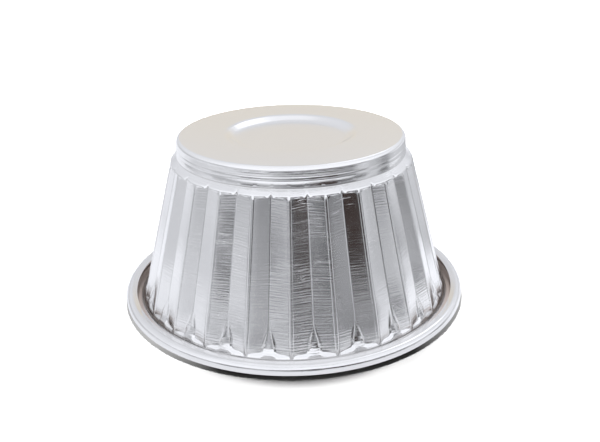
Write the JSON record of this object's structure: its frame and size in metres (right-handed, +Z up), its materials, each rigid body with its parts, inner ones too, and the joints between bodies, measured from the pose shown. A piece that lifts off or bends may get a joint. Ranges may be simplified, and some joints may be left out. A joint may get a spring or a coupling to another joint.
{
  "type": "jelly mould",
  "caption": "Individual jelly mould of bright aluminium, with a flat sunk base, plain collar, flaring fluted wall and a rim rolled over a wire; jelly sets in it and turns out.",
  "frame": {"origin": "on the mould's axis, in the plane that its rim rests on, mouth down", "axes": "+Z up along the axis, from the mouth to the base; -Y is the side that the picture shows"},
  "size_m": [0.09, 0.09, 0.0428],
  "materials": {
    "pressed_sheet": "bright, with fine spun lines round the wall and a satin base",
    "wire": "drawn wire, dull"
  },
  "bodies": {
    "root": {"mould_shell": "pressed_sheet", "rim_wire": "wire"}
  },
  "joints": []
}
